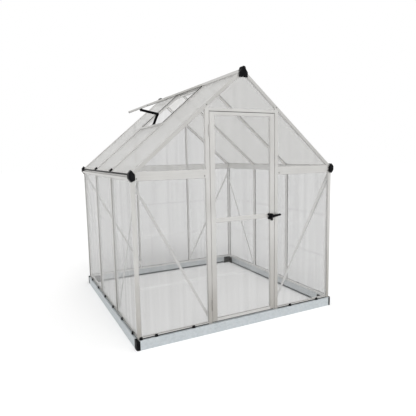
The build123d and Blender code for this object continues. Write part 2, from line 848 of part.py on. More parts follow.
ribs = rib_heights(frame_base, eave_height)
front_panel = wall_bay("front", jamb_out, inner_width, frame_base, eave_height, ribs, post_right=True)
save("front_wall_panels", [front_panel, mirrored_x(front_panel)])
back_panel = wall_bay("back", back_out, inner_width, frame_base, eave_height, ribs, post_right=True)
back_middle = wall_bay("back", -back_in, back_in, frame_base, eave_height, ribs)
save("back_wall_panels", [back_panel, back_middle, mirrored_x(back_panel)])

stud_in, stud_out = side_line - stud_width / 2, side_line + stud_width / 2
near_panel = wall_bay("right", -inner_depth, -stud_out, frame_base, eave_height, ribs, post_left=True)
middle_panel = wall_bay("right", -stud_in, stud_in, frame_base, eave_height, ribs)
side_panels = [near_panel, middle_panel, mirrored_y(near_panel)]
save("right_wall_panels", side_panels)
save("left_wall_panels", [mirrored_x(panel) for panel in side_panels])

rail_corner = (roof_height(0, rake_width) - eave_rail_top) / tan_slope
header_top = door_head + header_height
rake_meets_header = (roof_height(0, rake_width) - header_top) / tan_slope
header_corner = min(header_half - edge_play, rake_meets_header)
front_gable = gable_sheet("front", jamb_out - bite, rail_corner, eave_rail_top)
over_door = gable_sheet("front", -header_corner, header_corner, header_top)
save("front_gable_panels", [front_gable, over_door, mirrored_x(front_gable)])
back_gable = gable_sheet("back", back_out - bite, rail_corner, eave_rail_top)
back_gable_middle = gable_sheet("back", -back_in - bite, back_in + bite, eave_rail_top)
save("back_gable_panels", [back_gable, back_gable_middle, mirrored_x(back_gable)])

sheet_low_face = bar_skin + sheet_play + roof_sheet
sheet_head = (ridge_half - ridge_slot + edge_play + sheet_low_face * sin_slope) / cos_slope
sheet_foot = (half_width + sheet_overhang) / cos_slope
rake_edge = inner_depth + bite
rafter_out = stud_out - bite
rafter_in = stud_in + bite
near_sheet = roof_sheet_piece(-rake_edge, -rafter_out, sheet_head, sheet_foot, True, False)
far_sheet = roof_sheet_piece(rafter_out, rake_edge, sheet_head, sheet_foot, False, True)
middle_sheet = roof_sheet_piece(-rafter_in, rafter_in, sheet_head, sheet_foot, False, False)
save("right_roof_panels", [near_sheet, middle_sheet, far_sheet])
below_vent_head = sill_from_apex + sill_width - bite
below_vent = roof_sheet_piece(-rafter_in, rafter_in, below_vent_head, sheet_foot, False, False)
turn_left = Rot(0, 0, half_turn_deg)
save("left_roof_panels", [turn_left * piece for piece in (near_sheet, below_vent, far_sheet)])

save("vent_side_rails", [turn_left * vent_side_rail(side) for side in (-1, 1)])
vent_head_rail = vent_end_rail(vent_web_length, 1) + vent_hinge_bead()
save("vent_end_rails", [turn_left * vent_head_rail, turn_left * vent_end_rail(vent_length - vent_rail, -1)])
save("vent_panel", [turn_left * vent_sheet()])
save("vent_sill", [turn_left * vent_sill()])
save("vent_arm", [turn_left * link for link in vent_arm()])

hinges = [door_hinge(foot) for foot in hinge_feet]
save("jamb_hinges", [jamb_part for jamb_part, leaves in hinges])
save("door_hinges", [leaf for jamb_part, leaves in hinges for leaf in leaves])
save("door_stiles", [door_stile(side) for side in (-1, 1)])
mid_top = door_mid_height + door_mid_rail
rail_spans = (
    (leaf_low, door_end_rail, (-1,)),
    (door_mid_height, door_mid_rail, (-1, 1)),
    (leaf_top - door_end_rail, door_end_rail, (1,)),
)
door_rails = []
for low, tall, sides in rail_spans:
    door_rails.append(level_bar("front", -door_inner, door_inner, low, tall, sides, door_depth))
save("door_rails", door_rails)
pane_low = leaf_low + door_end_rail
lower_pane = wall_bay("front", -door_inner, door_inner, pane_low, door_mid_height, ribs[:1])
upper_pane = wall_bay("front", -door_inner, door_inner, mid_top, leaf_top - door_end_rail, ())
save("door_panels", [lower_pane, upper_pane])
save("door_latch_plate", [latch_plate_piece()])
save("door_handle", [latch_lever()])
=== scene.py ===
import math

import bmesh
import bpy
import numpy as np
from mathutils import Matrix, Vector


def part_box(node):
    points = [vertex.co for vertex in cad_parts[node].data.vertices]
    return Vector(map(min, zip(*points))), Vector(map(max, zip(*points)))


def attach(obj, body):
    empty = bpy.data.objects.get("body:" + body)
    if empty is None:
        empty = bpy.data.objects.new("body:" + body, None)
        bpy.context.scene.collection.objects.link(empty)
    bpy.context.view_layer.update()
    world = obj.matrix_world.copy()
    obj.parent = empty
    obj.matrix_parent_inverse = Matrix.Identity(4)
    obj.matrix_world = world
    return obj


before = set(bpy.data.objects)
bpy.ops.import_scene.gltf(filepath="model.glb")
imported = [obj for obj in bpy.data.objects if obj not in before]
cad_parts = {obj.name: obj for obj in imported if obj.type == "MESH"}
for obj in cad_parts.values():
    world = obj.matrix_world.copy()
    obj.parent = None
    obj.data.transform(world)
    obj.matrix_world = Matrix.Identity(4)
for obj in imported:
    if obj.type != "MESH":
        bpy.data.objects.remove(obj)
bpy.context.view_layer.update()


# The ground under the house: one plain pale floor, matt, level with the foot of the steel base.
# It takes the soft shadow of the house and turns white where nothing stands over it.

class Wire:
    """One socket of a node tree. Arithmetic on wires adds Math nodes, and node() adds any other node."""

    def __init__(self, tree, socket=None):
        self.tree = tree
        self.socket = socket

    def node(self, kind, settings=None, inputs=None, output=0):
        """Adds a node: first its settings, such as a ramp's stops, then each socket's value or wire."""
        made = self.tree.nodes.new(kind)
        for key, value in (settings or {}).items():
            if key == "stops":
                for stop, (position, colour) in zip(made.color_ramp.elements, value):
                    stop.position, stop.color = position, colour
            else:
                setattr(made, key, value)
        for key, value in (inputs or {}).items():
            if isinstance(value, Wire):
                self.tree.links.new(value.socket, made.inputs[key])
            else:
                made.inputs[key].default_value = value
        return Wire(self.tree, made.outputs[output] if made.outputs else None)

    def outputs(self):
        """Wires of all the outputs of this wire's node, in order."""
        return [Wire(self.tree, socket) for socket in self.socket.node.outputs]

    def calc(self, operation, first, second=0.0):
        """One Math node on two values or wires."""
        return self.node("ShaderNodeMath", {"operation": operation}, {0: first, 1: second})

    def __add__(self, other):
        return self.calc("ADD", self, other)

    def __radd__(self, other):
        return self.calc("ADD", other, self)

    def __sub__(self, other):
        return self.calc("SUBTRACT", self, other)

    def __rsub__(self, other):
        return self.calc("SUBTRACT", other, self)

    def __mul__(self, other):
        return self.calc("MULTIPLY", self, other)

    def __rmul__(self, other):
        return self.calc("MULTIPLY", other, self)

    def mix(self, low, high):
        """Colour between two colours, by this wire's value from 0 to 1."""
        return self.node("ShaderNodeMix", {"data_type": "RGBA"}, {0: self, 6: low, 7: high}, 2)

    def ramp(self, start, end):
        """This wire's value taken from start..end to 0..1 and held there."""
        black, white = (0.0, 0.0, 0.0, 1.0), (1.0, 1.0, 1.0, 1.0)
        return self.node("ShaderNodeValToRGB", {"stops": ((start, black), (end, white))}, {0: self})


def fresh_tree(owner):
    """Empty node tree of a material or the world, as a wire to build on."""
    owner.use_nodes = True
    owner.node_tree.nodes.clear()
    return Wire(owner.node_tree)


def seen_directly(tree):
    """1 for what the camera sees, straight, mirrored or through a sheet, and 0 for light on things."""
    rays = tree.node("ShaderNodeLightPath").socket.node.outputs
    camera, glossy, through = (
        Wire(tree.tree, rays[f"Is {kind} Ray"]) for kind in ("Camera", "Glossy", "Transmission")
    )
    return tree.calc("MAXIMUM", tree.calc("MAXIMUM", camera, glossy), through)


floor_reach = 40.0
floor_drop = 0.0006
floor_colour = (0.80, 0.80, 0.80, 1.0)
floor_glow = 0.25
white = (1.0, 1.0, 1.0, 1.0)

floor_corners = np.array([(-1, -1, 0), (1, -1, 0), (1, 1, 0), (-1, 1, 0)]) * floor_reach
floor_mesh = bpy.data.meshes.new("floor")
floor_mesh.from_pydata((floor_corners - (0.0, 0.0, floor_drop)).tolist(), [], [(0, 1, 2, 3)])
floor = bpy.data.objects.new("floor", floor_mesh)
bpy.context.scene.collection.objects.link(floor)
floor_matt = bpy.data.materials.new("pale_floor")
tree = fresh_tree(floor_matt)
matt = tree.node("ShaderNodeBsdfDiffuse", None, {"Color": floor_colour})
glow_strength = seen_directly(tree) * floor_glow
glow = tree.node("ShaderNodeEmission", None, {"Color": white, "Strength": glow_strength})
both = tree.node("ShaderNodeAddShader", None, {0: matt, 1: glow})
tree.node("ShaderNodeOutputMaterial", None, {"Surface": both})
floor_mesh.materials.append(floor_matt)


# The studio: an even white surround, a broad soft lamp from the front and a weaker one from the right.
# The levels are plain, so that a white card facing the lamps comes out white and no more.

surround_light = 0.70
lamps = (
    # name, azimuth and height in degrees, strength, spread in degrees
    ("key_lamp", -10.0, 50.0, 0.95, 40.0),
    ("fill_lamp", 35.0, 55.0, 0.45, 60.0),
)

bpy.context.scene.view_settings.view_transform = "Standard"
world = bpy.data.worlds.new("studio")
bpy.context.scene.world = world
tree = fresh_tree(world)
level = surround_light + seen_directly(tree) * (1.0 - surround_light)
surround = tree.node("ShaderNodeBackground", None, {"Color": white, "Strength": level})
tree.node("ShaderNodeOutputWorld", None, {"Surface": surround})
for name, azimuth_deg, height_deg, strength, spread_deg in lamps:
    lamp = bpy.data.lights.new(name, "SUN")
    lamp.energy = strength
    lamp.angle = math.radians(spread_deg)
    holder = bpy.data.objects.new(name, lamp)
    holder.rotation_euler = (math.radians(90.0 - height_deg), 0.0, math.radians(azimuth_deg))
    bpy.context.scene.collection.objects.link(holder)


# The camera stands at the front left, at about shoulder height, and looks down slightly at the house.
# The length of its lens is counted in pixels of an image that is 416 pixels wide.

image_side = 416.0
focal_pixels = 400.84
sensor_width = 36.0
camera_azimuth = -0.4672
camera_height_angle = 0.1298
camera_roll = -0.0194
camera_distance = 4.0797
camera_aim = np.array([0.1379, 0.0, 0.8665])

sin_a, cos_a = math.sin(camera_azimuth), math.cos(camera_azimuth)
sin_h, cos_h = math.sin(camera_height_angle), math.cos(camera_height_angle)
backwards = np.array([sin_a * cos_h, -cos_a * cos_h, sin_h])
level_right = np.array([cos_a, sin_a, 0.0])
level_up = np.cross(backwards, level_right)
right = math.cos(camera_roll) * level_right + math.sin(camera_roll) * level_up
up = math.cos(camera_roll) * level_up - math.sin(camera_roll) * level_right
stand = camera_aim + backwards * camera_distance
camera_data = bpy.data.cameras.new("camera")
camera_data.sensor_width = sensor_width
camera_data.lens = sensor_width * focal_pixels / image_side
camera = bpy.data.objects.new("camera", camera_data)
turned = np.eye(4)
turned[:3, 0], turned[:3, 1], turned[:3, 2], turned[:3, 3] = right, up, backwards, stand
camera.matrix_world = Matrix(turned.tolist())
bpy.context.scene.collection.objects.link(camera)
bpy.context.scene.camera = camera


# The base: four channels folded from galvanised steel sheet, laid on the ground and screwed to the corners.
# The zinc shows flat crystal flakes a finger's width across, and its outer faces take duller, darker tones
# than its inner ones.

flakes_per_metre, runs_per_metre, pits_per_metre = 70.0, 9.0, 160.0
flake_share, run_share = 0.6, 0.8
zinc_span = (0.25, 1.0)
fresh_tones = ((0.66, 0.70, 0.72, 1.0), (0.78, 0.81, 0.825, 1.0))
dull_tones = ((0.475, 0.515, 0.535, 1.0), (0.575, 0.61, 0.63, 1.0))
fresh_inset, dull_inset = 0.040, 0.020
zinc_shine = 0.35
zinc_roughness, flake_roughness = 0.34, 0.16
flake_step, pit_depth = 0.3, 0.0004
base_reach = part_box("base_rail_right")[1].x


def finish(node_names, material):
    """Gives CAD nodes a material in their own slots."""
    for node_name in node_names:
        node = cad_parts[node_name]
        for place in node.material_slots:
            place.material = material


def bump(tree, height, depth):
    """Normal that stands a height wire's 1 over its 0 by a depth in metres."""
    return tree.node("ShaderNodeBump", None, {"Strength": 1.0, "Distance": depth, "Height": height})


def skin(tree, colour, roughness, metallic, height, depth, alpha=1.0, gloss=0.5):
    """Principled surface with a bump of a depth from a height wire, wired to the tree's output."""
    surface = tree.node("ShaderNodeBsdfPrincipled", None, {
        "Base Color": colour, "Roughness": roughness, "Metallic": metallic, "Alpha": alpha,
        "Specular IOR Level": gloss, "Normal": bump(tree, height, depth),
    })
    tree.node("ShaderNodeOutputMaterial", None, {"Surface": surface})


def place_of(tree):
    """Object coordinates."""
    return tree.node("ShaderNodeTexCoord", None, None, "Object")


def clouds(tree, place, scale, detail=2.0, roughness=0.5):
    """Soft random tone around one half, of a size of one over scale metres."""
    return tree.node("ShaderNodeTexNoise", None, {
        "Vector": place, "Scale": scale, "Detail": detail, "Roughness": roughness,
    })


galvanised = bpy.data.materials.new("galvanised_steel")
tree = fresh_tree(galvanised)
place = place_of(tree)
flakes = tree.node("ShaderNodeTexVoronoi", None, {"Vector": place, "Scale": flakes_per_metre}, "Color")
flake = tree.node("ShaderNodeSeparateColor", None, {0: flakes})
runs = clouds(tree, place, runs_per_metre, detail=4.0)
tone = (flake * flake_share + runs * run_share).ramp(*zinc_span)
folded = tree.node("ShaderNodeVectorMath", {"operation": "ABSOLUTE"}, {0: place})
x, y, _ = tree.node("ShaderNodeSeparateXYZ", None, {0: folded}).outputs()
outer_faces_mask = tree.calc("MAXIMUM", x, y).ramp(base_reach - fresh_inset, base_reach - dull_inset)
zinc_colour = outer_faces_mask.mix(tone.mix(*fresh_tones), tone.mix(*dull_tones))
pits = clouds(tree, place, pits_per_metre) + flake * flake_step
skin(tree, zinc_colour, zinc_roughness + flake * flake_roughness, zinc_shine, pits, pit_depth)
base_rails = ("base_rail_front", "base_rail_back", "base_rail_left", "base_rail_right")
finish(base_rails, galvanised)


# The black mouldings: plastic boots that close the corners of the base, and the connectors, caps, clips,
# vent arm and latch, pushed on or bolted. They have a fine even grain, and dust lightens them in patches.

black_tones = ((0.006, 0.006, 0.007, 1.0), (0.018, 0.018, 0.019, 1.0))
dust_per_metre, grains_per_metre = 35.0, 900.0
dust_span = (0.45, 0.75)
black_roughness, dust_roughness = 0.42, 0.2
black_gloss = 0.04
grain_depth = 0.0002

black_plastic = bpy.data.materials.new("black_plastic")
tree = fresh_tree(black_plastic)
place = place_of(tree)
dust = clouds(tree, place, dust_per_metre, detail=3.0).ramp(*dust_span)
grain = clouds(tree, place, grains_per_metre)
dusty = black_roughness + dust * dust_roughness
skin(tree, dust.mix(*black_tones), dusty, 0.0, grain, grain_depth, gloss=black_gloss)
mouldings = (
    "base_corners", "eave_connectors", "apex_caps", "eave_clips", "vent_arm", "door_latch_plate",
    "door_handle",
)
finish(mouldings, black_plastic)


# The base clips: small black moulded wedges pressed over the base's edge to hold the bottom rails down.
# Each is a thumb's width across, with a rounded back that leans against the rail.

clip_width, clip_reach, clip_height = 0.026, 0.012, 0.020
clip_fullness = 0.98
front_clips = (-0.888, -0.770, -0.465, 0.465, 0.765)
side_clips = (-0.785, -0.480, -0.177, 0.131, 0.430, 0.735)
post_low, post_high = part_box("corner_posts")


def skin_over(rings, closed=False):
    """Vertices and faces of a skin over a row of closed rings.

    Quads join each ring to the next. A closed row goes back to its first ring, an open one gets flat ends.
    """
    rings = np.asarray(rings, float)
    index = np.arange(rings.shape[0] * rings.shape[1]).reshape(rings.shape[:2])
    here = index if closed else index[:-1]
    ahead = np.roll(index, -1, axis=0) if closed else index[1:]
    quads = np.stack([here, np.roll(here, -1, 1), np.roll(ahead, -1, 1), ahead], axis=-1).reshape(-1, 4)
    ends = () if closed else (index[0][::-1], index[-1])
    return rings.reshape(-1, 3), [*quads, *ends]


def piece(name, shells, material, body):
    """One object of several closed shells, with its faces turned outwards, riding on a body."""
    points, faces, count = [], [], 0
    for shell_points, shell_faces in shells:
        points.append(shell_points)
        faces += [(face + count).tolist() for face in shell_faces]
        count += len(shell_points)
    mesh = bpy.data.meshes.new(name)
    mesh.from_pydata(np.concatenate(points).tolist(), [], faces)
    work = bmesh.new()
    work.from_mesh(mesh)
    bmesh.ops.recalc_face_normals(work, faces=work.faces[:])
    work.to_mesh(mesh)
    work.free()
    mesh.materials.append(material)
    made = bpy.data.objects.new(name, mesh)
    bpy.context.scene.collection.objects.link(made)
    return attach(made, body)


def on_wall(side, along, out, up):
    """Points of a wall in the house's frame: the way along it, the distance out from its face, the height.

    The front wall's points are turned about the middle of the house by quarter turns.
    """
    turn = {"front": 0.0, "right": 0.5, "back": 1.0, "left": 1.5}[side] * math.pi
    reach = post_high.y if side in ("front", "back") else post_high.x
    along, away = np.asarray(along, float), -reach - np.asarray(out, float)
    x = along * math.cos(turn) - away * math.sin(turn)
    y = along * math.sin(turn) + away * math.cos(turn)
    return np.stack(np.broadcast_arrays(x, y, np.asarray(up, float)), axis=-1)


def base_clip(side, middle):
    """A quarter-ellipse wedge on the ledge, whose size falls at its ends as the fourth root of 1 - t^4."""
    t = np.sin(np.linspace(-0.5, 0.5, 11) * math.pi * clip_fullness)[:, None]
    size = (1.0 - t ** 4) ** 0.25
    quarter = np.linspace(0.0, 0.5 * math.pi, 7)
    out = np.append(clip_reach * np.sin(quarter), 0.0) * size
    up = post_low.z + np.append(clip_height * np.cos(quarter), 0.0) * size
    return skin_over(on_wall(side, middle + t * clip_width / 2, out, up))


clip_rows = {
    "front": front_clips,
    "back": [-place for place in front_clips],
    "left": [-place for place in side_clips],
    "right": side_clips,
}
clip_shells = [base_clip(side, place) for side, row in clip_rows.items() for place in row]
piece("base_clips", clip_shells, black_plastic, "frame")


# The corner lips: thin edges moulded on the black plastic corners, lapping the ends of the steel channels.
# They show as a narrow upright line on the front and side faces of the base.

corner_lip_half = 0.0035
corner_lip_rise = 0.0008
corner_lip_gap = 0.002
channel_out = base_reach - post_high.x
front_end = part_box("base_rail_front")[1].x - corner_lip_half
side_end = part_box("base_rail_right")[1].y - corner_lip_half


def corner_lip(side, middle):
    """A low arch, one minus the square of the way across the lip, carried straight up the channel."""
    across = np.linspace(-1.0, 1.0, 7)
    along = middle + np.concatenate([across, across[[-1, 0]]]) * corner_lip_half
    arch = np.append(1.0 - across ** 2, (-1.0, -1.0))
    out = channel_out + corner_lip_rise * arch
    heights = np.array([corner_lip_gap, post_low.z - corner_lip_gap])[:, None]
    return skin_over(on_wall(side, along[None], out[None], heights))


lip_places = (("front", front_end), ("left", side_end), ("right", side_end))
lip_shells = [corner_lip(side, sign * end) for side, end in lip_places for sign in (-1.0, 1.0)]
piece("corner_lips", lip_shells, black_plastic, "frame")


# The bars: hollow aluminium extrusions, mill finished, cut to length and bolted together.
# Fine die lines run along each bar. Inside the sheets the bars are painted lighter and given less shine,
# painted light for the light the sheets hold back. Outside, the roof's bars are painted darker, painted
# shade.

# Painted light: the inner tones are paler than the metal, so that the bars inside the sheets look as lit as
# those outside.
painted_light_inner_tones = ((0.86, 0.855, 0.84, 1.0), (0.95, 0.946, 0.935, 1.0))
wall_tones = ((0.52, 0.514, 0.496, 1.0), (0.66, 0.654, 0.638, 1.0))
# Painted shade: the roof tones are darker than the wall tones, for the shaded sides of the roof bars.
roof_painted_shade_tones = ((0.47, 0.464, 0.446, 1.0), (0.57, 0.564, 0.548, 1.0))
soil_tone = (0.40, 0.385, 0.36, 1.0)
soil_heights = (0.05, 0.70)
soil_wander = 0.25
die_lines_per_metre, die_line_squeeze = 420.0, 0.02
patches_per_metre = 4.0
bar_span = (0.3, 0.7)
bar_roughness, patch_roughness = 0.36, 0.16
inner_shine, outer_shine = 0.45, 0.92
die_line_depth = 0.0002
groove_depth = 0.006
roof_rise = 0.768
ridge_half = 0.016

rake_low, rake_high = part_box("front_gable_rafters")
roof_angle = math.atan2(roof_rise, post_high.x)
ridge_line = rake_high.z + ridge_half * math.tan(roof_angle)
slope = (post_high.x, 0.0, -roof_rise)
flap_low, flap_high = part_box("vent_panel")
flap_slope = (flap_high.x - flap_low.x, 0.0, flap_low.z - flap_high.z)
brace_low, brace_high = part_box("gable_wall_braces")
jamb_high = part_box("door_jambs")[1]
brace_run = (brace_high.x - jamb_high.x, 0.0, brace_high.z - brace_low.z)
side_low, side_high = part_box("side_wall_braces")
stud_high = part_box("side_wall_studs")[1]
side_run = (0.0, side_high.y - stud_high.y, side_high.z - side_low.z)


def aluminium(name, along, tones, soiled):
    """Extruded aluminium whose die lines follow a direction, mirrored about the middle of the house.

    Inside the sheets it is painted lighter and less shiny, painted light for the light the sheets hold
    back, and outside them it takes the given tones. An upright is soiled near the ground.
    """
    material = bpy.data.materials.new(name)
    tree = fresh_tree(material)
    place = place_of(tree)
    folded = tree.node("ShaderNodeVectorMath", {"operation": "ABSOLUTE"}, {0: place})
    run = np.array(along, float) / np.linalg.norm(along)
    side = np.cross(run, (0.0, 1.0, 0.0) if abs(run[1]) < 0.5 else (1.0, 0.0, 0.0))
    side /= np.linalg.norm(side)
    dot = {"operation": "DOT_PRODUCT"}
    axes = [
        tree.node("ShaderNodeVectorMath", dot, {0: folded, 1: axis.tolist()}, "Value")
        for axis in (run, side, np.cross(run, side))
    ]
    lined = tree.node("ShaderNodeCombineXYZ", None, {0: axes[0] * die_line_squeeze, 1: axes[1], 2: axes[2]})
    lines = clouds(tree, lined, die_lines_per_metre, detail=3.0, roughness=0.6)
    patches = clouds(tree, place, patches_per_metre, detail=3.0)
    tone = (lines * 0.5 + patches * 0.5).ramp(*bar_span)
    x, y, height = tree.node("ShaderNodeSeparateXYZ", None, {0: folded}).outputs()
    beyond_walls = tree.calc("MAXIMUM", x - post_high.x, y - post_high.y)
    over_roof = x * math.sin(roof_angle) + (height - ridge_line) * math.cos(roof_angle)
    over_faces = tree.calc("MAXIMUM", beyond_walls, over_roof) + 2.0 * groove_depth
    outside = over_faces.ramp(groove_depth, 1.6 * groove_depth)
    outer_colour = tone.mix(*tones)
    if soiled:
        splashed = height + (patches - 0.5) * soil_wander
        outer_colour = splashed.ramp(*soil_heights).mix(soil_tone, outer_colour)
    # Painted light: inside the sheets the bars take the paler inner tones and less shine.
    colour = outside.mix(tone.mix(*painted_light_inner_tones), outer_colour)
    shine = inner_shine + outside * (outer_shine - inner_shine)
    skin(tree, colour, bar_roughness + patches * patch_roughness, shine, lines, die_line_depth)
    return material


bar_groups = (
    # material, way of its bars, tones, soiled or not, nodes
    ("aluminium_cross_rails", (1, 0, 0), wall_tones, False, (
        "bottom_rail_front", "bottom_rail_back", "eave_rail_front", "eave_rail_back", "door_header",
        "door_rails",
    )),
    ("aluminium_long_rails", (0, 1, 0), wall_tones, False, (
        "bottom_rails_sides", "eave_gutters", "vent_sill",
    )),
    ("aluminium_uprights", (0, 0, 1), wall_tones, True, (
        "corner_posts", "side_wall_studs", "back_wall_studs", "door_jambs", "door_stiles", "jamb_hinges",
        "door_hinges",
    )),
    ("aluminium_rafters", slope, roof_painted_shade_tones, False, (
        "front_gable_rafters", "back_gable_rafters", "roof_rafters",
    )),
    ("aluminium_ridge", (0, 1, 0), roof_painted_shade_tones, False, ("ridge_beam", "vent_end_rails")),
    ("aluminium_flap", flap_slope, roof_painted_shade_tones, False, ("vent_side_rails",)),
    ("aluminium_gable_braces", brace_run, wall_tones, False, ("gable_wall_braces",)),
    ("aluminium_side_braces", side_run, wall_tones, False, ("side_wall_braces",)),
)
for group_name, direction, tones, soiled, members in bar_groups:
    finish(members, aluminium(group_name, direction, tones, soiled))


# The wall sheets: thin clear plastic, formed with level ribs and slid into the grooves of the bars.
# They veil what lies behind them evenly, with faint upright draw lines. Broad upright streaks that grow
# edge on, and a sheet turning paler and more opaque edge on, are painted reflections. The pale band along
# each rib is a painted highlight.

wall_veil, gable_veil = 0.120, 0.100
# Painted reflection: the edge veils make a sheet more opaque edge on, where it shows the pale reflection
# tone.
rib_veil, edge_reflection_veil = 0.045, 0.50
draw_veil, reflection_streak_veil = 0.03, 0.30
sheet_tones = ((0.14, 0.139, 0.135, 1.0), (0.18, 0.179, 0.174, 1.0))
# Painted reflection: the tone a sheet turns to edge on. Painted highlight: the pale tone along each rib.
painted_reflection_tone = (0.44, 0.438, 0.43, 1.0)
painted_rib_highlight_tone = (0.45, 0.45, 0.44, 1.0)
edge_span = (0.0, 0.35)
edge_power = 5.0
draw_stretch = (60.0, 60.0, 1.5)
fine_draw, broad_draw = 2.0, 0.35
draw_span = (0.35, 0.65)
draw_depth = 0.0003
haze_per_metre = 3.0
sheet_roughness, haze_roughness = 0.12, 0.12
rib_half = 0.008
rib_core, rib_rim = 0.7 * rib_half, 1.2 * rib_half
wall_ribs = (0.452, 0.836)


def glancing(tree):
    """0 where a surface is faced squarely, rising as a fifth power to 1 where it is seen edge on."""
    turned_away = tree.node("ShaderNodeLayerWeight", None, {"Blend": 0.5}, "Facing")
    return tree.calc("POWER", turned_away, edge_power)


def clear_plastic(name, rib_heights, veil):
    """Clear sheet with fine upright streaks, broad streaks and an edge-on paleness that are painted
    reflections, and a painted highlight along each formed rib.
    """
    material = bpy.data.materials.new(name)
    tree = fresh_tree(material)
    place = place_of(tree)
    haze = clouds(tree, place, haze_per_metre, detail=3.0)
    drawn = tree.node("ShaderNodeMapping", None, {"Vector": place, "Scale": draw_stretch})
    fine_streaks = clouds(tree, drawn, fine_draw)
    reflection_streaks = clouds(tree, drawn, broad_draw).ramp(*draw_span)
    height = tree.node("ShaderNodeSeparateXYZ", None, {0: place}, "Z")
    away = [tree.calc("ABSOLUTE", height - rib_height) for rib_height in rib_heights]
    rib = 1.0 - tree.calc("MINIMUM", away[0], away[-1]).ramp(rib_core, rib_rim)
    edge_on = glancing(tree)
    # Painted reflection: broad streaks that grow edge on and a paler sheet edge on. Painted highlight: the
    # pale rib band.
    streaks = fine_streaks * draw_veil + reflection_streaks * (draw_veil + edge_on * reflection_streak_veil)
    opacity = veil + streaks + rib * rib_veil + edge_on * edge_reflection_veil
    tint = edge_on.ramp(*edge_span).mix(haze.mix(*sheet_tones), painted_reflection_tone)
    roughness = sheet_roughness + haze * haze_roughness
    skin(tree, rib.mix(tint, painted_rib_highlight_tone), roughness, 0.0, fine_streaks, draw_depth, opacity)
    return material


wall_sheets = ("front_wall_panels", "back_wall_panels", "left_wall_panels", "right_wall_panels")
gable_sheets = ("front_gable_panels", "back_gable_panels")
finish(wall_sheets, clear_plastic("clear_sheet", wall_ribs, wall_veil))
finish(gable_sheets, clear_plastic("clear_gable_sheet", wall_ribs, gable_veil))
finish(("door_panels",), clear_plastic("clear_door_sheet", wall_ribs[:1], wall_veil))


# The roof sheets: twin-wall plastic with flutes down the slope, slid in between the rafters to the ridge.
# The webs between the flutes show as fine milky lines. What is behind them looks veiled, but most of the
# light gets through.

flute_pitch, flute_depth = 0.012, 0.0005
web_span = (0.70, 0.95)
web_share, haze_share = 0.6, 0.4
roof_veil, web_veil, roof_edge_veil = 0.48, 0.12, 0.15
milky_tones = ((0.64, 0.636, 0.624, 1.0), (0.76, 0.756, 0.742, 1.0))
passed_tone = (0.88, 0.876, 0.862, 1.0)
light_let_through = 0.5
roof_roughness = 0.18

twin_wall = bpy.data.materials.new("twin_wall_sheet")
tree = fresh_tree(twin_wall)
place = place_of(tree)
along_ridge = tree.node("ShaderNodeSeparateXYZ", None, {0: place}, "Y")
wave = tree.calc("PINGPONG", along_ridge * (1.0 / flute_pitch), 0.5) * 2.0
web = wave.ramp(*web_span)
haze = clouds(tree, place, haze_per_metre, detail=3.0)
veil = roof_veil + web * web_veil + glancing(tree) * roof_edge_veil
face = tree.node("ShaderNodeBsdfPrincipled", None, {
    "Base Color": (web * web_share + haze * haze_share).mix(*milky_tones),
    "Roughness": roof_roughness + haze * haze_roughness,
    "Normal": bump(tree, wave, flute_depth),
})
passed_on = tree.node("ShaderNodeBsdfTranslucent", None, {"Color": passed_tone})
milky = tree.node("ShaderNodeMixShader", None, {0: light_let_through, 1: face, 2: passed_on})
clear = tree.node("ShaderNodeBsdfTransparent")
veiled = tree.node("ShaderNodeMixShader", None, {0: veil, 1: clear, 2: milky})
tree.node("ShaderNodeOutputMaterial", None, {"Surface": veiled})
finish(("left_roof_panels", "right_roof_panels", "vent_panel"), twin_wall)


# The glazing lips: thin dark lips laid in the joint between a sheet and the bars round it, painted shade
# for the shade in the grooves. They show as fine dark lines along the edges of the panes, lighter higher
# up.

lip_width, lip_height = 0.0024, 0.0024
lip_profile = np.array([(0.0, 0.0), (0.0, 1.0), (0.35, 0.75), (0.75, 0.3), (1.0, 0.0)])
sheet_set_back = 0.0033
stud_half = 0.010
ridge_wing = 0.042
# Painted shade: the dark tones of the lips, darker low down and lighter higher up.
painted_shade_tones = ((0.16, 0.154, 0.145, 1.0), (0.60, 0.588, 0.57, 1.0))
lightening_by_height, lightening_by_bloom = 0.5, 0.25
lightening_span = (0.15, 0.55)
blooms_per_metre, rubber_grains_per_metre = 40.0, 700.0
rubber_roughness, bloom_roughness = 0.55, 0.2
rubber_gloss = 0.2
rubber_grain_depth = 0.0001

rail_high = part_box("bottom_rail_back")[1]
frame_base, inner_x = rail_high.z, rail_high.x
inner_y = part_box("bottom_rails_sides")[1].y
eave = post_high.z
eave_rail_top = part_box("eave_rail_back")[1].z
header_low, header_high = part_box("door_header")
door_edge = header_high.x
stud_line = stud_high.y - stud_half
jamb_line = (jamb_high.x + door_edge) / 2
back_edge, back_middle = jamb_line + stud_half, jamb_line - stud_half
ridge_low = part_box("ridge_beam")[0].z
sheet_foot = post_high.x / math.cos(roof_angle)
sheet_head = ridge_wing / math.cos(roof_angle)
below_vent = -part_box("vent_sill")[0].x / math.cos(roof_angle)


def oblong(left, right, low, high):
    """The corners of an oblong, anticlockwise from the lower left."""
    return ((left, low), (right, low), (right, high), (left, high))


def on_slope(sign, down, along, height):
    """Points of a roof slope: the distance down from the ridge line, the way along it, the height over it.

    The sign is 1 on the right slope and -1 on the left.
    """
    x = sign * (down * math.cos(roof_angle) + height * math.sin(roof_angle))
    z = ridge_line - down * math.sin(roof_angle) + height * math.cos(roof_angle)
    return np.stack(np.broadcast_arrays(x, along, z), axis=-1)


